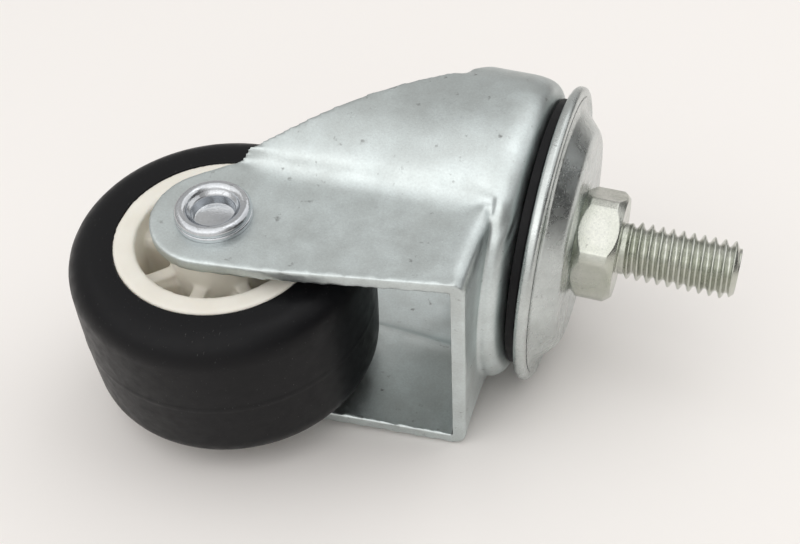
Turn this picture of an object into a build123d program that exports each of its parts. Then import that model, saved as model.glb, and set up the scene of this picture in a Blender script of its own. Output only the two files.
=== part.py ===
from build123d import *
from math import asin, ceil, cos, pi, radians, sin, sqrt, tan
import os

# Swivel castor with a threaded stem, in millimetres.
# Frame: the origin is the centre of the hexagon's top face, the seat against the furniture.
# +Z points up along the stem, +X towards the trailing side, where the fork is open,
# and +Y runs along the wheel's axle. The tail of the rivet, with its rolled lip, is at -Y.

os.makedirs("parts", exist_ok=True)

# ---------------------------------------------------------------- driving dimensions
# wheel
wheel_diameter = 38.0
tread_width = 22.0
tread_crown = 0.35            # how far the tread falls from its middle to its shoulders
tyre_shoulder_radius = 2.6
hub_rim_radius = 12.9         # outside of the hub, where the tyre is moulded on
hub_rim_wall = 2.7
hub_boss_radius = 6.4
hub_web_thickness = 3.0
hub_rib_count = 8
hub_rib_thickness = 1.8
hub_rib_recess = 3.0          # ribs end this far below the side face of the hub
hub_side_play = 0.3           # each side, between the hub's boss and the fork
trail = 21.7                  # swivel axis to axle, along X
axle_drop = 47.4              # seat to axle, along Z

# fork, pressed from one sheet
sheet = 1.8
crown_half_width = 16.15      # outside of a leg at the crown
axle_half_width = 14.4        # outside of a leg at the axle
leg_straight_height = 8.4     # the legs run parallel from this far above the axle
crown_level = -14.4           # upper face of the flat crown plate
drum_top_level = -11.4
drum_radius = 20.8            # round boss of the crown, and the cowl that hangs from it
drum_corner_radius = 2.4
flare_depth = 4.6             # the boss flares out of the legs over this depth
joggle_foot = 12.6            # X where the flat of the leg ends
joggle_run = 2.2              # X length of the step from leg to cowl
leg_end_radius = 7.9
trailing_lean = 6.3           # degrees from upright
leading_slope = 48.6          # degrees from level
skirt_level = -22.0           # lower edge of the cowl at its front
skirt_blend_radius = 9.0
bend_radius = 2.0             # outside of the bend between leg and crown plate
king_hole_clearance = 0.6     # each side, round the king bolt

# swivel bearing
upper_ball_diameter = 4.763
upper_pitch_radius = 12.0
lower_ball_diameter = 3.969
lower_pitch_radius = 8.2
ball_running_clearance = 0.12
ball_spacing = 0.25           # gap between neighbouring balls
lower_groove_depth = 0.35
lower_race_radius = 11.6
lower_race_thickness = 1.8
lower_race_groove_depth = 0.5

# top cap and dust ring
cap_sheet = 1.8
cap_top_radius = 14.6
cap_crease_radius = 17.5
cap_rim_radius = 20.3
cap_rim_top_level = -8.4
cap_edge_radius = 0.7
cap_corner_radius = 1.6
ring_outer_radius = 18.3
ring_wall = 2.1
ring_running_clearance = 0.15

# king bolt: stem, hexagon and shank in one piece
stem_diameter = 7.94          # 5/16 inch thread, modelled at its major diameter
stem_length = 16.0
stem_end_chamfer = 0.9
hex_across_flats = 13.0
hex_height = 5.6
hex_corner_radius = 1.4
hex_bevel = 0.8
shank_radius = 4.0
peen_radius = 6.2
peen_height = 1.7

# axle
rivet_radius = 3.5
rivet_fit_clearance = 0.05
rivet_lip_radius = 4.7
rivet_lip_height = 0.95
rivet_bore_radius = 2.55
rivet_mouth_radius = 3.1
rivet_recess_depth = 2.1
rivet_head_radius = 6.0
rivet_head_height = 1.7
washer_radius = 4.75
washer_thickness = 0.6
sleeve_wall = 1.1
sleeve_running_clearance = 0.05

# ---------------------------------------------------------------- derived sizes
wheel_radius = wheel_diameter / 2
cap_top_level = -hex_height
cap_under_level = cap_top_level - cap_sheet
upper_ball_level = (cap_under_level + drum_top_level) / 2
drum_under_level = drum_top_level - sheet
crown_under_level = crown_level - sheet
lower_ball_radius = lower_ball_diameter / 2
lower_ball_level = drum_under_level + lower_groove_depth - ball_running_clearance - lower_ball_radius
race_groove_level = lower_ball_level - lower_ball_radius - ball_running_clearance
race_top_level = race_groove_level + lower_race_groove_depth
race_under_level = race_top_level - lower_race_thickness
leg_straight_level = -axle_drop + leg_straight_height
leg_bottom_level = -axle_drop - 2 * leg_end_radius
axle_gap = 2 * (axle_half_width - sheet)
rivet_tail_level = axle_half_width + washer_thickness
axle_place = Pos(trail, 0, -axle_drop) * Rot(90, 0, 0)   # local +Z becomes -Y


# ---------------------------------------------------------------- helpers
def turned(*points, rounds=()):
    """Solid of revolution round Z from (radius, level) points; rounds lists (index, radius)."""
    face = make_face(Plane.XZ * Polyline(*points, close=True))
    for index, radius in rounds:
        corner = Vector(points[index][0], 0, points[index][1])
        face = fillet(face.vertices().sort_by(lambda v: (v.center() - corner).length)[0], radius)
    return revolve(face, axis=Axis.Z)


def disc(radius, low, high):
    """Upright cylinder on the swivel axis between two levels."""
    return Pos(0, 0, low) * Cylinder(radius, high - low, align=(Align.CENTER, Align.CENTER, Align.MIN))


def race_groove(pitch_radius, level, ball_diameter):
    """Ring that a ball sweeps, with its running clearance."""
    return Pos(0, 0, level) * Torus(pitch_radius, ball_diameter / 2 + ball_running_clearance)


def save(solid, name):
    solid.label = name
    export_step(solid, f"parts/{name}.step")


# ---------------------------------------------------------------- fork
def fork_section(level, leg_half, round_radius, foot, reach):
    """Outline across the fork: legs on the trailing side, a round cowl on the leading side."""
    top_x = foot - joggle_run
    turn = asin(top_x / round_radius)
    outline = Curve()
    for side in (1, -1):
        top = Vector(top_x, side * round_radius * cos(turn))
        along = Vector(-cos(turn), side * sin(turn)) * joggle_run / 2
        leg_start = Vector(foot, side * leg_half)
        outline += Line((reach, side * leg_half), leg_start)
        outline += Bezier(leg_start, leg_start - Vector(joggle_run / 2, 0), top - along, top)
    outline += ThreePointArc((top.X, -top.Y), (-round_radius, 0), top)
    outline += Line((reach, leg_half), (reach, -leg_half))
    return Pos(0, 0, level) * make_face(outline)


def fork_channel(inset, top_level, reach):
    """Channel of legs and cowl, moved inwards by inset: tapered down to the axle, then upright."""
    foot = joggle_foot - inset * 0.36
    ring = drum_radius - inset
    wide = crown_half_width - inset
    narrow = axle_half_width - inset
    tapered = loft(
        [fork_section(top_level, wide, ring, foot, reach),
         fork_section(leg_straight_level, narrow, ring, foot, reach)],
        ruled=True,
    )
    upright = extrude(fork_section(leg_straight_level, narrow, ring, foot, reach),
                      leg_straight_level - leg_bottom_level, dir=(0, 0, -1))
    return tapered + upright


def fork_drum(inset):
    """Round boss of the crown, with the flare that runs out of the legs below it."""
    ring = drum_radius - inset
    top = drum_top_level - inset
    base = crown_level - inset / 2
    points = [(0, top), (ring, top), (ring, base), (ring - flare_depth, base - flare_depth),
              (0, base - flare_depth)]
    face = make_face(Plane.XZ * Polyline(*points, close=True))
    corner = Vector(ring, 0, top)
    nearest = face.vertices().sort_by(lambda v: (v.center() - corner).length)[0]
    face = fillet(nearest, max(drum_corner_radius - inset, 0.3))
    return revolve(face, axis=Axis.Z)


def fork_side_view():
    """Everything that the side outline of the fork keeps, as a slab across the whole width."""
    axle = Vector(trail, -axle_drop)
    lean = radians(trailing_lean)
    slope = radians(leading_slope)
    trail_side = axle + Vector(cos(lean), sin(lean)) * leg_end_radius
    lead_side = axle - Vector(sin(slope), cos(slope)) * leg_end_radius
    lowest = axle + Vector(sin(lean / 2), -cos(lean / 2)) * leg_end_radius
    far = 2 * drum_radius
    skirt_corner = Vector(lead_side.X - (skirt_level - lead_side.Y) / tan(slope), skirt_level)
    rise = -trail_side.Y
    outline = Polyline(lead_side, skirt_corner, (-far, skirt_level), (-far, 0),
                       (trail_side.X - rise * tan(lean), 0), trail_side)
    outline += ThreePointArc(trail_side, lowest, lead_side)
    face = make_face(Plane.XZ * outline)
    corner = Vector(skirt_corner.X, 0, skirt_corner.Y)
    nearest = face.vertices().sort_by(lambda v: (v.center() - corner).length)[0]
    face = fillet(nearest, skirt_blend_radius)
    return extrude(face, 2 * drum_radius, both=True)


def fork_bends(reach):
    """What the bends between the legs and the crown plate leave standing behind the boss."""
    depth = 2 * axle_drop
    width = 2 * crown_half_width
    across = Plane.YZ * Pos(0, crown_level - depth / 2) * Rectangle(width, depth)
    across = fillet(across.vertices().group_by(Axis.Z)[-1], bend_radius)
    behind = Pos(joggle_foot, 0, 0) * extrude(across, reach, dir=(1, 0, 0))
    ahead = Pos(joggle_foot, 0, crown_level) * Box(
        4 * drum_radius, 4 * drum_radius, depth, align=(Align.MAX, Align.CENTER, Align.MAX))
    return behind + ahead


def make_fork():
    reach = trail + 2 * leg_end_radius
    outer = fork_channel(0, crown_level, reach) & fork_bends(reach)
    outer = outer + fork_drum(0)
    inner = fork_channel(sheet, crown_under_level, reach + 1) + fork_drum(sheet)
    body = (outer & fork_side_view()) - inner
    body -= disc(shank_radius + king_hole_clearance, crown_level - 2 * sheet, 0)
    body -= race_groove(upper_pitch_radius, upper_ball_level, upper_ball_diameter)
    body -= race_groove(lower_pitch_radius, lower_ball_level, lower_ball_diameter)
    body -= axle_place * Cylinder(rivet_radius + rivet_fit_clearance, 4 * axle_half_width)
    return body


# ---------------------------------------------------------------- top cap, dust ring, bolt, race
def make_top_cap():
    flange = cap_sheet
    cone_shift = cap_sheet * 0.45
    points = [
        (shank_radius, cap_top_level),
        (cap_top_radius, cap_top_level),
        (cap_crease_radius, cap_rim_top_level),
        (cap_rim_radius, cap_rim_top_level),
        (cap_rim_radius, cap_rim_top_level - flange),
        (cap_crease_radius - cone_shift, cap_rim_top_level - flange),
        (cap_top_radius - cone_shift, cap_under_level),
        (shank_radius, cap_under_level),
    ]
    cap = turned(*points, rounds=((1, cap_corner_radius), (3, cap_edge_radius), (4, cap_edge_radius)))
    return cap - race_groove(upper_pitch_radius, upper_ball_level, upper_ball_diameter)


def make_dust_ring():
    top = cap_rim_top_level - cap_sheet - ring_running_clearance
    inner = ring_outer_radius - ring_wall
    return turned((inner, drum_top_level), (ring_outer_radius, drum_top_level),
                  (ring_outer_radius, top), (inner, top), rounds=((2, 0.3),))


def make_king_bolt():
    stem_radius = stem_diameter / 2
    hexagon = RegularPolygon(hex_across_flats / 2, 6, major_radius=False, rotation=30)
    hexagon = fillet(hexagon.vertices(), hex_corner_radius)
    prism = extrude(hexagon, hex_height, dir=(0, 0, -1))
    reach = hex_across_flats / 2 / cos(pi / 6)
    bevelled = turned((0, 0), (reach - 2 * hex_bevel, 0), (reach, -hex_bevel), (reach, hex_bevel - hex_height),
                      (reach - 2 * hex_bevel, -hex_height), (0, -hex_height))
    stem = turned((0, 0), (stem_radius, 0), (stem_radius, stem_length - stem_end_chamfer),
                  (stem_radius - stem_end_chamfer, stem_length), (0, stem_length))
    shank = disc(shank_radius, race_under_level, -hex_height)
    peen = turned((0, race_under_level), (peen_radius, race_under_level),
                  (peen_radius, race_under_level - peen_height), (0, race_under_level - peen_height),
                  rounds=((2, 0.8 * peen_height),))
    return (prism & bevelled) + stem + shank + peen


def make_lower_race():
    race = turned((shank_radius, race_top_level), (lower_race_radius, race_top_level),
                  (lower_race_radius, race_under_level), (shank_radius, race_under_level),
                  rounds=((1, 0.4), (2, 0.8)))
    return race - race_groove(lower_pitch_radius, lower_ball_level, lower_ball_diameter)


def ball_train(pitch_radius, level, diameter, name):
    """A full complement of balls round the swivel axis, each a node of its own."""
    chord = diameter + ball_spacing
    count = int(pi / asin(chord / (2 * pitch_radius)))
    for index in range(count):
        turn = 360 * index / count
        ball = Rot(0, 0, turn) * Pos(pitch_radius, 0, level) * Sphere(diameter / 2)
        save(ball, f"{name}_{index + 1:02d}")
    return count


# ---------------------------------------------------------------- axle and wheel
def make_axle_rivet():
    tail_top = rivet_tail_level + rivet_lip_height
    recess = tail_top - rivet_recess_depth
    funnel = (rivet_mouth_radius - rivet_bore_radius)
    points = [
        (0, recess),
        (rivet_bore_radius, recess),
        (rivet_bore_radius, tail_top - rivet_lip_height / 2 - funnel),
        (rivet_mouth_radius, tail_top),
        (rivet_lip_radius, tail_top),
        (rivet_lip_radius, rivet_tail_level),
        (rivet_radius, rivet_tail_level),
        (rivet_radius, -axle_half_width),
        (rivet_head_radius, -axle_half_width),
        (rivet_head_radius, -axle_half_width - rivet_head_height),
        (0, -axle_half_width - rivet_head_height),
    ]
    roll = rivet_lip_height * 0.45
    body = turned(*points, rounds=((3, roll), (4, roll), (5, roll), (9, 0.8 * rivet_head_height)))
    return axle_place * body


def make_rivet_washer():
    inner = rivet_radius + rivet_fit_clearance
    body = turned((inner, axle_half_width), (washer_radius, axle_half_width),
                  (washer_radius, rivet_tail_level), (inner, rivet_tail_level), rounds=((2, 0.2),))
    return axle_place * body


def make_axle_sleeve():
    inner = rivet_radius + rivet_fit_clearance
    outer = inner + sleeve_wall
    half = axle_gap / 2
    return axle_place * turned((inner, -half), (outer, -half), (outer, half), (inner, half))


def make_wheel_hub():
    side = tread_width / 2
    rim_inside = hub_rim_radius - hub_rim_wall
    bore = rivet_radius + rivet_fit_clearance + sleeve_wall + sleeve_running_clearance
    boss_half = axle_gap / 2 - hub_side_play
    web = hub_web_thickness / 2
    body = turned((bore, -boss_half), (hub_boss_radius, -boss_half), (hub_boss_radius, -web), (rim_inside, -web),
                  (rim_inside, -side), (hub_rim_radius, -side), (hub_rim_radius, side), (rim_inside, side),
                  (rim_inside, web), (hub_boss_radius, web), (hub_boss_radius, boss_half), (bore, boss_half))
    rib_length = rim_inside - hub_boss_radius
    rib = Box(rib_length + hub_rim_wall, hub_rib_thickness, 2 * (side - hub_rib_recess))
    middle = (rim_inside + hub_boss_radius) / 2
    for index in range(hub_rib_count):
        body += Rot(0, 0, 360 * index / hub_rib_count) * Pos(middle, 0, 0) * rib
    return axle_place * body


def make_tyre():
    side = tread_width / 2
    shoulder = wheel_radius - tread_crown
    points = [(hub_rim_radius, -side), (shoulder, -side), (wheel_radius, 0), (shoulder, side),
              (hub_rim_radius, side)]
    tread = ThreePointArc((shoulder, -side), (wheel_radius, 0), (shoulder, side))
    rest = Polyline((shoulder, side), points[4], points[0], (shoulder, -side))
    face = make_face(Plane.XZ * (tread + rest))
    corners = face.vertices().group_by(Axis.X)[-1]
    face = fillet(corners, tyre_shoulder_radius)
    return axle_place * revolve(face, axis=Axis.Z)


# ---------------------------------------------------------------- build
save(make_fork(), "fork")
save(make_top_cap(), "top_cap")
save(make_dust_ring(), "dust_ring")
save(make_king_bolt(), "king_bolt")
save(make_lower_race(), "lower_race")
save(make_axle_rivet(), "axle_rivet")
save(make_rivet_washer(), "rivet_washer")
save(make_axle_sleeve(), "axle_sleeve")
save(make_wheel_hub(), "wheel_hub")
save(make_tyre(), "tyre")
upper_count = ball_train(upper_pitch_radius, upper_ball_level, upper_ball_diameter, "upper_ball")
lower_count = ball_train(lower_pitch_radius, lower_ball_level, lower_ball_diameter, "lower_ball")
print("balls:", upper_count, "upper,", lower_count, "lower")
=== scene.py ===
"""Swivel castor with a screw stem, lying on its side on a pale table."""

import math

import bmesh
import bpy
import numpy as np
from mathutils import Matrix, Vector
from mathutils.bvhtree import BVHTree
from mathutils.kdtree import KDTree


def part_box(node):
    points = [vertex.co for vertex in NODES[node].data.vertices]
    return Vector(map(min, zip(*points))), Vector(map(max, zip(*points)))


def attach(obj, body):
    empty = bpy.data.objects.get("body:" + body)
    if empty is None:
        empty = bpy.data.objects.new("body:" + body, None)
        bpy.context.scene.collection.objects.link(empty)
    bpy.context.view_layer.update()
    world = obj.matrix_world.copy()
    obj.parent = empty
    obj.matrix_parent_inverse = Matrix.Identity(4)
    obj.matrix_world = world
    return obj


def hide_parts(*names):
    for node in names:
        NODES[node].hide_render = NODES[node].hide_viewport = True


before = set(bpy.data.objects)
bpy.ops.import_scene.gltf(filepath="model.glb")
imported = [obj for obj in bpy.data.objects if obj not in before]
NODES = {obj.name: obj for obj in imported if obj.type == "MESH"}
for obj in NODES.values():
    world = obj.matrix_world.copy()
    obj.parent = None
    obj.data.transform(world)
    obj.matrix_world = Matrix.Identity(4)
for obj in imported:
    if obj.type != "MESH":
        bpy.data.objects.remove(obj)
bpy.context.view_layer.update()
MM = 0.001

# ---------------------------------------------------------------- wheel, in millimetres
wheel_box = [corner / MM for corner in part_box("tyre")]
WHEEL_CENTRE = (wheel_box[0] + wheel_box[1]) / 2
WHEEL_RADIUS = (wheel_box[1].z - wheel_box[0].z) / 2
TREAD_HALF = (wheel_box[1].y - wheel_box[0].y) / 2
TYRE_BORE = 12.9
TYRE_BORE_EDGE = 0.3
TYRE_SHOULDER = 3.5
TREAD_CROWN = 0.35
TREAD_MARGIN = 0.3             # from the end of the shoulder's arc to the tread's first point
PARTING_RIDGE = 0.05
PARTING_WIDTH = 0.12
RIB_COUNT = 8
RIB_MIDDLE = 8.4               # from the axle
RIB_LENGTH, RIB_HEIGHT, RIB_THICKNESS = 5.6, 15.6, 2.7
RIB_TAPER = 0.82               # height of a rib at the boss, as a share of that at the rim

# ---------------------------------------------------------------- king bolt
bolt_box = [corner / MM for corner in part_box("king_bolt")]
STEM_TOP = bolt_box[1].z
PEEN_BOTTOM = bolt_box[0].z
STEM_RADIUS = 3.97
STEM_CHAMFER = 0.9
STEM_END_ROUND = 0.3
THREADS_PER_INCH = 18
THREAD_PITCH = 25.4 / THREADS_PER_INCH
THREAD_DEPTH = 0.6134 * THREAD_PITCH
THREAD_CREST, THREAD_FLANK = 0.05, 0.37    # half the crest and one flank, as shares of the pitch
THREAD_RUN_IN = 0.7
NECK_LENGTH = 0.8
NECK_RADIUS = 3.5
NECK_FOOT = 0.4                # how far the neck spreads where it meets the hexagon
HEX_FLAT = 7.0                 # axis to a flat
HEX_HEIGHT = 5.6
HEX_CORNER_RADIUS = 7.7
HEX_END_RADIUS = 6.86
HEX_CHAMFER_SLOPE = 0.85
HEX_FACE_INSET = 0.15
SHANK_RADIUS = 4.0
PEEN_RADIUS = 6.2
PEEN_HEIGHT = 1.7
PEEN_EDGE, PEEN_WALL = 0.15, 0.2
PEEN_DOME_FOOT = 0.3
PEEN_DOME_TURN = 1.15          # how far the dome curls in, in radians

# ---------------------------------------------------------------- cap and dust ring
cap_box = [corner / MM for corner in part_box("top_cap")]
CAP_TOP = cap_box[1].z
CAP_RIM_RADIUS = cap_box[1].x
CAP_RIM_TOP = -8.4
CAP_RIM_UNDER = -9.95
CAP_SHEET = 1.8
CAP_CREASE_RADIUS = 17.5
CAP_TOP_RADIUS = 14.6
CAP_INNER_SHIFT = 0.45 * CAP_SHEET
CAP_STEP = 0.1                 # the crease stands this much above the flange beside it
CAP_FLANGE_START, CAP_FLANGE_END = 1.3, 1.2
CAP_RIM_BEAD = 0.12
RING_RADIUS = 18.3
RING_WALL = 2.1
RING_TOP = -10.1

# ---------------------------------------------------------------- axle rivet, along the axle
AXLE_HALF = 14.4
RIVET_RADIUS = 3.5
RIVET_LIP = 4.7
RIVET_MOUTH = 3.1
RIVET_BORE = 2.55
RIVET_FLOOR = 13.85
RIVET_TAIL = 15.0
RIVET_LIP_FOOT = 0.35          # the roll starts this far above the washer
RIVET_CREST = 16.1
RIVET_HEAD_RADIUS = 6.0
RIVET_HEAD_HEIGHT = 1.7
RIVET_HEAD_EDGE, RIVET_HEAD_ROUND = 0.15, 1.35
RIVET_AXIS_GAP = 0.05          # the outline starts this close to the axis

# ---------------------------------------------------------------- fork
BOSS_RADIUS = 20.8
CROWN_LEVEL = -14.4
CROWN_HALF = 16.15
LEG_PARALLEL_LEVEL = -39.0
JOGGLE_FOOT = 12.6
JOGGLE_RUN = 2.2
FADE_LEVELS = (-50, -44, -40, -34, -27, -23, -18)
FADE_SHARES = (0.6, 0.43, 0.35, 0.30, 0.25, 0.14, 0.02)   # how much of the joggle's depth is gone
RACE_RADII = (14.2, 16.0)      # the crown keeps its own surface inside the first of these
RACE_DEPTH = 2.3               # and down to this far below its upper face
PUCKER_PLACE = (12.9, 12.8)    # X and the distance from the fork's middle plane
PUCKER_DEPTH, PUCKER_SPREAD, PUCKER_PITCH = 0.5, 3.6, 4.6
DENT_PLACE = (16.0, -19.0)     # X and Z
DENT_DEPTH, DENT_SPREAD = 0.22, 22
WAVE_DEPTH = 0.04
PLATING_RELIEF = 0.05

# ---------------------------------------------------------------- fineness of the meshes
AROUND = 192
AROUND_RIVET = 128
AROUND_BOLT = 240
THREAD_SPACING = 0.09
FORK_GRAIN, HUB_GRAIN = 0.27, 0.3
SEAM = 1e-4
RIM_ANGLE = math.radians(75)   # an edge sharper than this is a cut edge
RIM_SPACING = 0.1
RIM_CATCH = 0.21
EDGE_REACH = (0.9, 2.8)        # smoothing starts and is full at these distances from a cut edge
MOST_TRIANGLES = 185000


# ---------------------------------------------------------------- meshes
def finished(name, mesh, material, body, replaced, sharp=40):
    """Makes an object of a mesh in millimetres, rides it on a body and puts it in a node's place."""
    mesh.transform(Matrix.Scale(MM, 4))
    made = bmesh.new()
    made.from_mesh(mesh)
    bmesh.ops.recalc_face_normals(made, faces=made.faces)
    made.to_mesh(mesh)
    made.free()
    mesh.shade_smooth()
    mesh.set_sharp_from_angle(angle=math.radians(sharp))
    mesh.materials.clear()
    mesh.materials.append(material)
    obj = bpy.data.objects.new(name, mesh)
    bpy.context.scene.collection.objects.link(obj)
    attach(obj, body)
    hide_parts(replaced)


def skin(name, rings, closed=False):
    """A mesh through rings of points; open ends are capped, a closed one joins up."""
    rings = np.asarray(rings, float)
    count, around = rings.shape[:2]
    i = np.arange(count if closed else count - 1)[:, None]
    j = np.arange(around)[None, :]
    following, beside = (i + 1) % count, (j + 1) % around
    corners = (i * around + j, i * around + beside,
               following * around + beside, following * around + j)
    faces = np.stack(np.broadcast_arrays(*corners), -1).reshape(-1, 4).tolist()
    if not closed:
        faces.append(list(range(around)))
        faces.append(list(range((count - 1) * around, count * around)))
    mesh = bpy.data.meshes.new(name)
    mesh.from_pydata(rings.reshape(-1, 3).tolist(), [], faces)
    return mesh


def rounded(corners, steps=8):
    """Outline through (radius, level, rounding) corners, each corner turned into an arc."""
    line = []
    for index, (radius, level, rounding) in enumerate(corners):
        here = Vector((radius, level))
        if not rounding:
            line.append((radius, level))
            continue
        back = (Vector(corners[index - 1][:2]) - here).normalized()
        ahead = (Vector(corners[(index + 1) % len(corners)][:2]) - here).normalized()
        half = back.angle(ahead) / 2
        centre = here + (back + ahead).normalized() * rounding / math.sin(half)
        start = here + back * rounding / math.tan(half) - centre
        end = here + ahead * rounding / math.tan(half) - centre
        first = math.atan2(start.y, start.x)
        sweep = (math.atan2(end.y, end.x) - first + math.pi) % (2 * math.pi) - math.pi
        for part in range(steps + 1):
            angle = first + sweep * part / steps
            line.append((centre.x + rounding * math.cos(angle), centre.y + rounding * math.sin(angle)))
    return line


def turned(name, outline, centre, axle=False, around=AROUND, closed=True):
    """An outline of (radius, level) revolved about +Z, or about the axle's +Y."""
    outline = np.asarray(outline)
    angle = np.linspace(0, 2 * math.pi, around, endpoint=False)
    radial = outline[:, :1] * np.cos(angle), outline[:, :1] * np.sin(angle)
    level = np.broadcast_to(outline[:, 1:], radial[0].shape)
    parts = (radial[0], level, radial[1]) if axle else (radial[0], radial[1], level)
    return skin(name, np.stack(parts, -1) + np.asarray(centre), closed)


def shaped(mesh, kind, **settings):
    """The mesh after one modifier."""
    worker = bpy.data.objects.new("worker", mesh)
    bpy.context.scene.collection.objects.link(worker)
    modifier = worker.modifiers.new("shape", kind)
    for key, value in settings.items():
        setattr(modifier, key, value)
    evaluated = worker.evaluated_get(bpy.context.evaluated_depsgraph_get())
    result = bpy.data.meshes.new_from_object(evaluated)
    bpy.data.objects.remove(worker)
    return result


def merged_copy(node, *extras):
    """A CAD node's mesh in millimetres, its seams joined, with extra meshes laid in."""
    both = bmesh.new()
    both.from_mesh(NODES[node].data)
    bmesh.ops.scale(both, vec=(1 / MM,) * 3, verts=both.verts)
    bmesh.ops.remove_doubles(both, verts=both.verts, dist=SEAM)
    for extra in extras:
        both.from_mesh(extra)
    return both


def softened(node, voxel, passes, *extras):
    """A copy of a CAD node as one even skin, its edges worn round."""
    both = merged_copy(node, *extras)
    mesh = bpy.data.meshes.new(node + "_skin")
    both.to_mesh(mesh)
    both.free()
    mesh = shaped(mesh, "REMESH", mode="VOXEL", voxel_size=voxel)
    return shaped(mesh, "SMOOTH", factor=0.5, iterations=passes) if passes else mesh


def thinned(mesh):
    """The mesh with no more triangles than a piece may have."""
    triangles = sum(len(face.vertices) - 2 for face in mesh.polygons)
    if triangles < MOST_TRIANGLES:
        return mesh
    return shaped(mesh, "DECIMATE", ratio=MOST_TRIANGLES / triangles)


def places(mesh, name="co"):
    """The vertices' places, or another vector of theirs, one row for each."""
    flat = np.empty(len(mesh.vertices) * 3)
    mesh.vertices.foreach_get(name, flat)
    return flat.reshape(-1, 3)


def placed(mesh, place):
    """Puts the vertices at new places."""
    mesh.vertices.foreach_set("co", place.ravel())
    mesh.update()


def step(value, low, high):
    """0 below low, 1 above high and smooth between."""
    share = np.clip((value - low) / (high - low), 0, 1)
    return share * share * (3 - 2 * share)


def edge_ends(mesh):
    """The two vertices of each edge."""
    ends = np.empty(len(mesh.edges) * 2, np.int64)
    mesh.edges.foreach_get("vertices", ends)
    return ends.reshape(-1, 2)


def relaxed(mesh, weight, passes):
    """Evens the mesh out where weight is high and leaves it where weight is zero."""
    first, second = edge_ends(mesh).T
    place = places(mesh)
    count = len(place)
    degree = np.bincount(first, minlength=count) + np.bincount(second, minlength=count)
    for _ in range(passes):
        total = [np.bincount(first, place[second, axis], count)
                 + np.bincount(second, place[first, axis], count) for axis in range(3)]
        place += 0.5 * weight[:, None] * (np.stack(total, 1) / degree[:, None] - place)
    placed(mesh, place)


def rim_tree(solid):
    """Points along the cut edges of a solid, to measure from."""
    points = []
    for edge in solid.edges:
        if edge.is_manifold and edge.calc_face_angle() > RIM_ANGLE:
            first, second = (vertex.co for vertex in edge.verts)
            count = max(1, math.ceil(edge.calc_length() / RIM_SPACING))
            points += [first.lerp(second, k / count) for k in range(count + 1)]
    tree = KDTree(len(points))
    for index, point in enumerate(points):
        tree.insert(point, index)
    tree.balance()
    return tree


def snapped(mesh, node):
    """Lays the even skin back on the CAD node, its corners on the cut edges.

    Returns how far each vertex was from a cut edge.
    """
    solid = merged_copy(node)
    rim, surface_tree = rim_tree(solid), BVHTree.FromBMesh(solid)
    solid.free()
    away = np.empty(len(mesh.vertices))
    for index, vertex in enumerate(mesh.vertices):
        corner, _, away[index] = rim.find(vertex.co)
        vertex.co = corner if away[index] < RIM_CATCH else surface_tree.find_nearest(vertex.co)[0]
    mesh.update()
    return away


# ---------------------------------------------------------------- materials
def node(tree, kind, inputs=None, **settings):
    """A shader node; an input is either a value or another node's output."""
    made = tree.nodes.new(kind)
    for key, value in settings.items():
        setattr(made, key, value)
    for key, value in (inputs or {}).items():
        if isinstance(value, bpy.types.NodeSocket):
            tree.links.new(value, made.inputs[key])
        else:
            made.inputs[key].default_value = value
    return made


def grain(tree, size, detail=2, stretch=(1, 1, 1), turn=(0, 0, 0)):
    """Noise whose grains are about `size` millimetres across."""
    place = node(tree, "ShaderNodeTexCoord").outputs["Object"]
    mapped = node(tree, "ShaderNodeMapping", {"Vector": place, "Scale": stretch, "Rotation": turn})
    values = {"Vector": mapped.outputs["Vector"], "Scale": 1 / (size * MM), "Detail": detail}
    return node(tree, "ShaderNodeTexNoise", values).outputs["Fac"]


def between(tree, value, low, high, bottom=0.0, top=1.0):
    """`value` from low..high mapped onto bottom..top and kept there."""
    values = {"Value": value, "From Min": low, "From Max": high, "To Min": bottom, "To Max": top}
    return node(tree, "ShaderNodeMapRange", values).outputs["Result"]


def mixed(tree, share, first, second):
    """`first` turning into `second` as share rises to 1."""
    values = {"Fac": share, "Color1": first, "Color2": second}
    return node(tree, "ShaderNodeMixRGB", values).outputs["Color"]


def colour(red, green, blue):
    return (red, green, blue, 1.0)


def surface(name, base, roughness, **constants):
    """A new material; base and roughness may be values or functions of the node tree."""
    made = bpy.data.materials.new(name)
    made.use_nodes = True
    tree = made.node_tree
    shader = tree.nodes["Principled BSDF"]
    for socket, value in (("Base Color", base), ("Roughness", roughness)):
        if callable(value):
            tree.links.new(value(tree), shader.inputs[socket])
        else:
            shader.inputs[socket].default_value = value
    for socket, value in constants.items():
        shader.inputs[socket.replace("_", " ")].default_value = value
    return made, tree, shader


def bumped(tree, shader, height, depth, strength=1.0, before=None):
    """Relief `depth` millimetres deep, over an earlier one if given."""
    values = {"Height": height, "Distance": depth * MM, "Strength": strength}
    if before is not None:
        values["Normal"] = before
    normal = node(tree, "ShaderNodeBump", values).outputs["Normal"]
    tree.links.new(normal, shader.inputs["Normal"])
    return normal


GRAIN_GREY = colour(0.36, 0.37, 0.37)
DIRT_BROWN = colour(0.12, 0.115, 0.11)
SHEEN_SPREAD = 0.07


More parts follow.
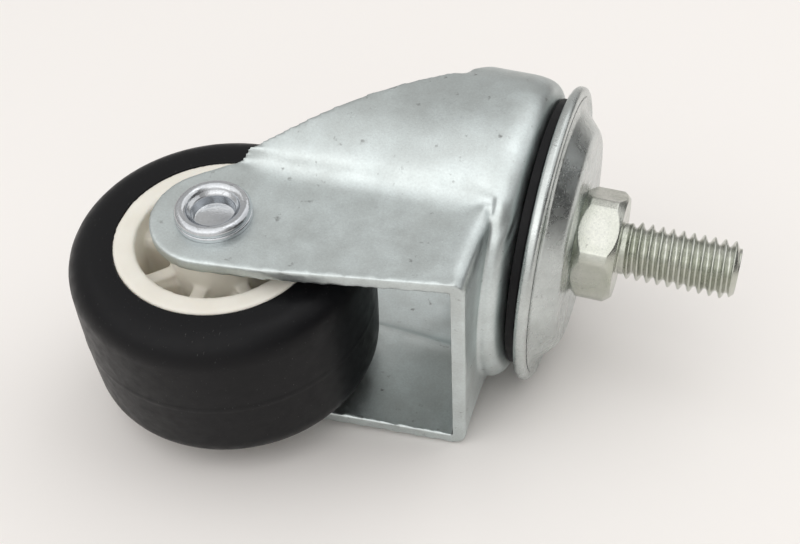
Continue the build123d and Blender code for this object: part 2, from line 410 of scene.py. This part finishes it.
def plated(name, clean, dull, low, high, spangle=0.2):
    """Zinc plate: cloudy, finely grained, with specks of dirt and fine scratches."""
    def base(tree):
        cloudy = mixed(tree, between(tree, grain(tree, 5, 4), 0.35, 0.65), clean, dull)
        fine = mixed(tree, between(tree, grain(tree, 0.3, 2), 0.3, 0.7, 0, 0.22), cloudy, GRAIN_GREY)
        speck = between(tree, grain(tree, 1.4, 6), 0.66, 0.76, 0, 0.7)
        return mixed(tree, speck, fine, DIRT_BROWN)

    def roughness(tree):
        return between(tree, grain(tree, 2.2, 5), 0.3, 0.7, low, high)

    made, tree, shader = surface(name, base, roughness, Metallic=1.0)
    fine = bumped(tree, shader, grain(tree, spangle, 3), 0.025, 0.75)
    scratch = between(tree, grain(tree, 1.6, 1, (1, 12, 30), (0.5, 0.3, 0.9)), 0.70, 0.74)
    bumped(tree, shader, scratch, 0.02, 0.5, fine)
    return made


def moulded(name, base, roughness, grain_size, depth, **constants):
    """A moulded plastic or rubber with an uneven sheen and a fine skin."""
    def sheen(tree):
        return between(tree, grain(tree, 1.5, 4), 0.3, 0.7, roughness - SHEEN_SPREAD, roughness + SHEEN_SPREAD)

    made, tree, shader = surface(name, base, sheen, **constants)
    bumped(tree, shader, grain(tree, grain_size, 3), depth, 0.6)
    return made


def dusty_black(tree):
    """Black with a few threads of lint."""
    lint = between(tree, grain(tree, 0.5, 1, (1, 1, 5), (0.4, 0.9, 0.2)), 0.75, 0.78)
    return mixed(tree, lint, colour(0.004, 0.004, 0.005), colour(0.06, 0.06, 0.06))


def cream(tree):
    """Off-white, slightly uneven."""
    cloud = between(tree, grain(tree, 4, 3), 0.35, 0.65)
    return mixed(tree, cloud, colour(0.80, 0.755, 0.67), colour(0.84, 0.80, 0.72))


FORK_ZINC = plated("zinc_fork", colour(0.66, 0.72, 0.72), colour(0.565, 0.61, 0.605), 0.31, 0.44)
CAP_ZINC = plated("zinc_cap", colour(0.62, 0.66, 0.65), colour(0.50, 0.53, 0.52), 0.22, 0.34)
BOLT_ZINC = plated("zinc_bolt", colour(0.62, 0.63, 0.58), colour(0.50, 0.52, 0.45), 0.16, 0.30)
RIVET_ZINC = plated("zinc_rivet", colour(0.66, 0.68, 0.70), colour(0.54, 0.56, 0.59), 0.09, 0.17)
STEEL = surface("steel_plain", colour(0.55, 0.55, 0.54), 0.24, Metallic=1.0)[0]
TYRE_BLACK = moulded("tyre_black", dusty_black, 0.40, 0.6, 0.012, Specular_IOR_Level=0.18)
SEAL_BLACK = moulded("seal_black", colour(0.006, 0.006, 0.007), 0.55, 0.5, 0.02, Specular_IOR_Level=0.2)
HUB_CREAM = moulded("hub_cream", cream, 0.45, 0.9, 0.03, Subsurface_Weight=0.05)


# ---------------------------------------------------------------- wheel
def make_tyre():
    edge = WHEEL_RADIUS - TREAD_CROWN
    reach = TREAD_HALF - TYRE_SHOULDER - TREAD_MARGIN
    crown = []
    for level in np.linspace(-reach, reach, 41):
        ridge = PARTING_RIDGE * math.exp(-(level / PARTING_WIDTH) ** 2)
        fall = TREAD_CROWN * (level / TREAD_HALF) ** 2
        crown.append((WHEEL_RADIUS - PARTING_RIDGE - fall + ridge, level, 0))
    outline = rounded([
        (TYRE_BORE, -TREAD_HALF, TYRE_BORE_EDGE), (edge, -TREAD_HALF, TYRE_SHOULDER), *crown,
        (edge, TREAD_HALF, TYRE_SHOULDER), (TYRE_BORE, TREAD_HALF, TYRE_BORE_EDGE)])
    mesh = turned("tyre_moulding", outline, WHEEL_CENTRE, axle=True)
    finished("tyre_moulding", mesh, TYRE_BLACK, "wheel", "tyre")


# ---------------------------------------------------------------- king bolt
def hexagon(angle, depth):
    """Radius of the forged hexagon: flats cut by a round corner and by a cone at each end."""
    first = 0.0 if bolt_box[1].x < bolt_box[1].y else math.pi / 6
    off = (angle - first + math.pi / 6) % (math.pi / 3) - math.pi / 6
    cone = HEX_END_RADIUS + HEX_CHAMFER_SLOPE * min(depth, HEX_HEIGHT - depth)
    return np.minimum(HEX_FLAT / np.cos(off), min(cone, HEX_CORNER_RADIUS))


def thread(angle, level):
    """Radius of the rolled right-hand thread at each angle of one level."""
    away = np.abs((level / THREAD_PITCH - angle / (2 * math.pi) + 0.5) % 1 - 0.5)
    cut = np.clip((away - THREAD_CREST) / THREAD_FLANK, 0, 1)
    cut = 0.5 * cut + 0.5 * cut * cut * (3 - 2 * cut)
    started = min(max((level - NECK_LENGTH) / THREAD_RUN_IN, 0), 1)
    major = NECK_RADIUS + (STEM_RADIUS - NECK_RADIUS) * started
    chamfer = STEM_RADIUS - STEM_CHAMFER + (STEM_TOP - level)
    return np.minimum(major - THREAD_DEPTH * started * cut, chamfer)


def crisp_below(mesh, level):
    """Keeps edges sharp only below a level, in metres."""
    low = places(mesh)[:, 2][edge_ends(mesh)].max(1) < level
    sharp = np.empty(len(mesh.edges), bool)
    marks = mesh.attributes["sharp_edge"].data
    marks.foreach_get("value", sharp)
    marks.foreach_set("value", sharp & low)


def make_king_bolt():
    """Stem, hexagon, shank and peen, ring by ring from the top."""
    angle = np.linspace(0, 2 * math.pi, AROUND_BOLT, endpoint=False)
    rings = []

    def ring(radius, level):
        radius = np.broadcast_to(radius, angle.shape)
        height = np.full(angle.shape, level)
        rings.append(np.stack([radius * np.cos(angle), radius * np.sin(angle), height], -1))

    ring(STEM_RADIUS - STEM_CHAMFER - STEM_END_ROUND, STEM_TOP)
    for level in np.arange(STEM_TOP, 0.15, -THREAD_SPACING):
        ring(thread(angle, level), level)
    ring(NECK_RADIUS + 0.15, 0.04)
    ring(NECK_RADIUS + NECK_FOOT, 0)
    ring(HEX_END_RADIUS - HEX_FACE_INSET, 0)
    for depth in np.linspace(0, HEX_HEIGHT, 71):
        ring(hexagon(angle, depth), -depth)
    peen_top = PEEN_BOTTOM + PEEN_HEIGHT
    ring(SHANK_RADIUS, -HEX_HEIGHT)
    ring(SHANK_RADIUS, peen_top)
    ring(PEEN_RADIUS - PEEN_EDGE, peen_top)
    ring(PEEN_RADIUS, peen_top - PEEN_WALL)
    for turn in np.linspace(0, PEEN_DOME_TURN, 9):
        left = 1 - math.sin(turn) / math.sin(PEEN_DOME_TURN)
        ring(PEEN_RADIUS * math.cos(turn), PEEN_BOTTOM + (PEEN_HEIGHT - PEEN_DOME_FOOT) * left)
    mesh = skin("stud_bolt", rings)
    finished("stud_bolt", mesh, BOLT_ZINC, "mount", "king_bolt", sharp=18)
    crisp_below(mesh, 0.1 * MM)


# ---------------------------------------------------------------- cap, dust ring and rivet
def make_cap():
    outline = rounded([
        (SHANK_RADIUS, CAP_TOP, 0),
        (CAP_TOP_RADIUS, CAP_TOP, 2.2),
        (CAP_CREASE_RADIUS, CAP_RIM_TOP + CAP_STEP, 1.2),
        (CAP_CREASE_RADIUS + CAP_FLANGE_START, CAP_RIM_TOP - CAP_STEP, 0.8),
        (CAP_RIM_RADIUS - CAP_FLANGE_END, CAP_RIM_TOP + CAP_RIM_BEAD, 0.9),
        (CAP_RIM_RADIUS, CAP_RIM_TOP - CAP_STEP, 0.65),
        (CAP_RIM_RADIUS, CAP_RIM_UNDER, 0.65),
        (CAP_CREASE_RADIUS - CAP_INNER_SHIFT, CAP_RIM_UNDER, 0.5),
        (CAP_TOP_RADIUS - CAP_INNER_SHIFT, CAP_TOP - CAP_SHEET, 0.5),
        (SHANK_RADIUS, CAP_TOP - CAP_SHEET, 0),
    ])
    mesh = turned("bearing_cap", outline, (0, 0, 0))
    finished("bearing_cap", mesh, CAP_ZINC, "mount", "top_cap", sharp=50)


def make_dust_ring():
    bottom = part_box("dust_ring")[0].z / MM
    inner = RING_RADIUS - RING_WALL
    outline = rounded([(inner, bottom, 0), (RING_RADIUS, bottom, 0.1),
                       (RING_RADIUS, RING_TOP, 0.35), (inner, RING_TOP, 0.2)])
    mesh = turned("seal_ring", outline, (0, 0, 0))
    finished("seal_ring", mesh, SEAL_BLACK, "fork", "dust_ring")


def make_rivet():
    """Recess, rolled lip, shank and factory head, from the recess's floor at the tail."""
    middle, half = (RIVET_LIP + RIVET_MOUTH) / 2, (RIVET_LIP - RIVET_MOUTH) / 2
    lip = RIVET_TAIL + RIVET_LIP_FOOT
    outline = [
        (RIVET_AXIS_GAP, -RIVET_FLOOR),
        (RIVET_BORE - 0.5, -RIVET_FLOOR),
        (RIVET_BORE - 0.1, -RIVET_FLOOR - 0.12),
        (RIVET_BORE, -RIVET_FLOOR - 0.4),
        (RIVET_BORE + 0.05, -lip + 0.3),
        (RIVET_BORE + 0.22, -lip),
    ]
    for turn in np.linspace(0.93 * math.pi, -0.35, 15):
        outline.append((middle + half * math.cos(turn), -lip - (RIVET_CREST - lip) * math.sin(turn)))
    outline += [(RIVET_LIP - 0.15, -RIVET_TAIL), (RIVET_RADIUS, -RIVET_TAIL), (RIVET_RADIUS, AXLE_HALF)]
    head_top = AXLE_HALF + RIVET_HEAD_HEIGHT
    head = rounded([
        (RIVET_HEAD_RADIUS, AXLE_HALF, RIVET_HEAD_EDGE), (RIVET_HEAD_RADIUS, head_top, RIVET_HEAD_ROUND),
        (2 * RIVET_AXIS_GAP, head_top, 0), (RIVET_RADIUS, AXLE_HALF, 0)])
    outline += head[:-1]
    mesh = turned("axle_pin", outline, WHEEL_CENTRE, axle=True, around=AROUND_RIVET, closed=False)
    finished("axle_pin", mesh, RIVET_ZINC, "fork", "axle_rivet", sharp=45)


# ---------------------------------------------------------------- fork and hub
def faded_joggle(place):
    """The step from leg to cowl dies away towards the end of the leg."""
    x, y, z = place.T
    leg = np.interp(z, (LEG_PARALLEL_LEVEL, CROWN_LEVEL), (AXLE_HALF, CROWN_HALF))
    bulge = np.sqrt(np.maximum(BOSS_RADIUS ** 2 - x * x, 0)) - leg
    share = np.clip((JOGGLE_FOOT - x) / JOGGLE_RUN, 0, 1)
    fade = np.interp(z, FADE_LEVELS, FADE_SHARES)
    place[:, 1] -= np.sign(y) * np.maximum(bulge, 0) * share * fade


def off_the_races(place):
    """0 where the balls run on the crown, 1 clear of them."""
    x, y, z = place.T
    return np.maximum(step(np.hypot(x, y), *RACE_RADII), step(CROWN_LEVEL - RACE_DEPTH - z, 0, 1))


def pressed_marks(place, normal):
    """Puckers beside the boss, shallow dents and waviness left by the press."""
    x, side, z = place[:, 0], np.abs(place[:, 1]), place[:, 2]
    wave = WAVE_DEPTH * np.sin(x * 0.31 + z * 0.23) * np.sin(z * 0.27 - x * 0.12 + 1.7)
    along, across = x - PUCKER_PLACE[0], side - PUCKER_PLACE[1]
    near = np.exp(-(along ** 2 + across ** 2 + (z - CROWN_LEVEL) ** 2) / PUCKER_SPREAD)
    pucker = PUCKER_DEPTH * near * np.sin((along * 0.5 + across * 0.85) * PUCKER_PITCH)
    hollow = np.exp(-((x - DENT_PLACE[0]) ** 2 + (z - DENT_PLACE[1]) ** 2) / DENT_SPREAD)
    dent = -DENT_DEPTH * hollow * step(side, 12.5, 14)
    relief = off_the_races(place) * (wave + pucker + dent - PLATING_RELIEF)
    place += normal * relief[:, None]


def make_fork():
    """The CAD fork as an even skin, its joggle faded, its edges eased and the press's marks laid on."""
    mesh = softened("fork", FORK_GRAIN, 0)
    away = snapped(mesh, "fork")
    place = places(mesh)
    faded_joggle(place)
    placed(mesh, place)
    relaxed(mesh, step(away, *EDGE_REACH) * off_the_races(place), 150)
    relaxed(mesh, 0.8 * off_the_races(place), 6)
    place = places(mesh)
    pressed_marks(place, places(mesh, "normal"))
    placed(mesh, place)
    finished("pressed_fork", thinned(mesh), FORK_ZINC, "fork", "fork", sharp=60)


def hub_ribs():
    """Thicker ribs between the boss and the rim of the hub."""
    mesh = bpy.data.meshes.new("ribs")
    box = bmesh.new()
    for index in range(RIB_COUNT):
        turn = Matrix.Rotation(index * 2 * math.pi / RIB_COUNT, 4, "Y")
        for vertex in bmesh.ops.create_cube(box, size=1)["verts"]:
            x, y, z = vertex.co
            height = RIB_HEIGHT * (RIB_TAPER if x < 0 else 1)
            corner = Vector((RIB_MIDDLE + RIB_LENGTH * x, height * y, RIB_THICKNESS * z))
            vertex.co = WHEEL_CENTRE + turn @ corner
    box.to_mesh(mesh)
    box.free()
    return mesh


def make_hub():
    mesh = softened("wheel_hub", HUB_GRAIN, 3, hub_ribs())
    finished("moulded_hub", thinned(mesh), HUB_CREAM, "wheel", "wheel_hub", sharp=60)


# ---------------------------------------------------------------- table, light and camera
CAMERA_PLACE = (0.11418, -0.12189, 0.01144)
CAMERA_RIGHT = Vector((-0.26002, -0.01565, 0.96548))
CAMERA_UP = Vector((-0.72251, -0.66018, -0.20529))
CAMERA_BACK = Vector((0.6406, -0.75094, 0.16035))
CAMERA_LENS = 55.24
CAMERA_SHIFT = (-0.1215, 0.010)
TABLE_LEAN = math.radians(10.85)          # the castor lies on its boss and the rivet's head
TABLE_DOWN = Vector((math.sin(TABLE_LEAN), math.cos(TABLE_LEAN), 0))
TABLE_GAP = 0.02 * MM
TABLE_HALF = 20.0
CASTOR_MIDDLE = Vector((0.015, 0, -0.03))
# name, direction from the castor, distance, size and power
LAMPS = (
    ("lamp", Vector((0.21, -0.95, -0.27)), 0.6, 0.95, 1.65),
    ("fill", Vector((-0.5, -0.75, 0.5)), 0.6, 0.7, 1.2),
)
ROOM_BRIGHTNESS = 0.6
BACKDROP = 0.93


def make_camera():
    data = bpy.data.cameras.new("camera")
    data.lens = CAMERA_LENS
    data.shift_x, data.shift_y = CAMERA_SHIFT
    data.clip_start = 0.01
    data.clip_end = 20
    camera = bpy.data.objects.new("camera", data)
    turn = Matrix((CAMERA_RIGHT, CAMERA_UP, CAMERA_BACK)).transposed()
    camera.matrix_world = Matrix.Translation(CAMERA_PLACE) @ turn.to_4x4()
    bpy.context.scene.collection.objects.link(camera)
    bpy.context.scene.camera = camera


def make_table():
    """A pale table top, seen only from the castor's side."""
    pale = colour(0.93, 0.90, 0.875)
    made, tree, shader = surface("table_white", pale, 0.7, Specular_IOR_Level=0.2)
    behind = node(tree, "ShaderNodeNewGeometry").outputs["Backfacing"]
    clear = node(tree, "ShaderNodeBsdfTransparent").outputs["BSDF"]
    output = tree.nodes["Material Output"]
    sides = node(tree, "ShaderNodeMixShader", {0: behind, 1: shader.outputs["BSDF"], 2: clear})
    tree.links.new(sides.outputs["Shader"], output.inputs["Surface"])
    mesh = bpy.data.meshes.new("table")
    up = Vector((0, 0, 1))
    along = TABLE_DOWN.cross(up)
    centre = TABLE_DOWN * (BOSS_RADIUS * MM + TABLE_GAP)
    corners = [centre + (along * a + up * b) * TABLE_HALF for a, b in ((-1, -1), (1, -1), (1, 1), (-1, 1))]
    mesh.from_pydata([tuple(corner) for corner in corners], [], [(0, 1, 2, 3)])
    if mesh.polygons[0].normal.dot(TABLE_DOWN) > 0:
        mesh.flip_normals()
    mesh.materials.append(made)
    table = bpy.data.objects.new("table", mesh)
    bpy.context.scene.collection.objects.link(table)


def make_light(name, towards, distance, size, power):
    """A soft square lamp aimed at the castor from `towards`."""
    data = bpy.data.lights.new(name, "AREA")
    data.size = size
    data.energy = power
    lamp = bpy.data.objects.new(name, data)
    lamp.location = CASTOR_MIDDLE + towards.normalized() * distance
    lamp.rotation_mode = "QUATERNION"
    lamp.rotation_quaternion = (-towards).to_track_quat("-Z", "Y")
    bpy.context.scene.collection.objects.link(lamp)


def lobe(tree, direction, towards, low, high, strength):
    """Light that rises from zero to `strength` as the direction nears `towards`."""
    both = {0: direction, 1: towards.normalized()}
    along = node(tree, "ShaderNodeVectorMath", both, operation="DOT_PRODUCT")
    return between(tree, along.outputs["Value"], low, high, 0, strength)


def make_world():
    """Pale room: brighter on the near side, dimmer past the stem, white to the camera."""
    world = bpy.data.worlds.new("room")
    bpy.context.scene.world = world
    world.use_nodes = True
    tree = world.node_tree
    direction = node(tree, "ShaderNodeTexCoord").outputs["Generated"]
    near = lobe(tree, direction, Vector((0.8, -0.57, -0.16)), 0.45, 0.97, 0.55)
    far = lobe(tree, direction, Vector((-0.3, -0.1, 0.95)), 0.2, 0.95, 0.45)
    low = lobe(tree, direction, TABLE_DOWN, -0.45, 0.2, 0.2)
    bright = node(tree, "ShaderNodeMath", {0: near, 1: ROOM_BRIGHTNESS}, operation="ADD").outputs["Value"]
    for dim in (far, low):
        less = node(tree, "ShaderNodeMath", {0: bright, 1: dim}, operation="SUBTRACT")
        bright = less.outputs["Value"]
    seen = node(tree, "ShaderNodeLightPath").outputs["Is Camera Ray"]
    strength = mixed(tree, seen, bright, colour(BACKDROP, BACKDROP, BACKDROP))
    background = tree.nodes["Background"]
    background.inputs["Color"].default_value = colour(1.0, 0.985, 0.965)
    tree.links.new(strength, background.inputs["Strength"])


# ---------------------------------------------------------------- the scene
make_tyre()
make_hub()
make_king_bolt()
make_cap()
make_dust_ring()
make_rivet()
make_fork()

# CAD nodes that are shown as they are
kept = {"lower_race": STEEL, "rivet_washer": RIVET_ZINC, "axle_sleeve": STEEL}
kept.update({name: STEEL for name in NODES if "ball" in name})
for name, material in kept.items():
    NODES[name].data.materials.clear()
    NODES[name].data.materials.append(material)

make_camera()
make_table()
make_world()
for lamp in LAMPS:
    make_light(*lamp)

bpy.context.scene.view_settings.view_transform = "Standard"
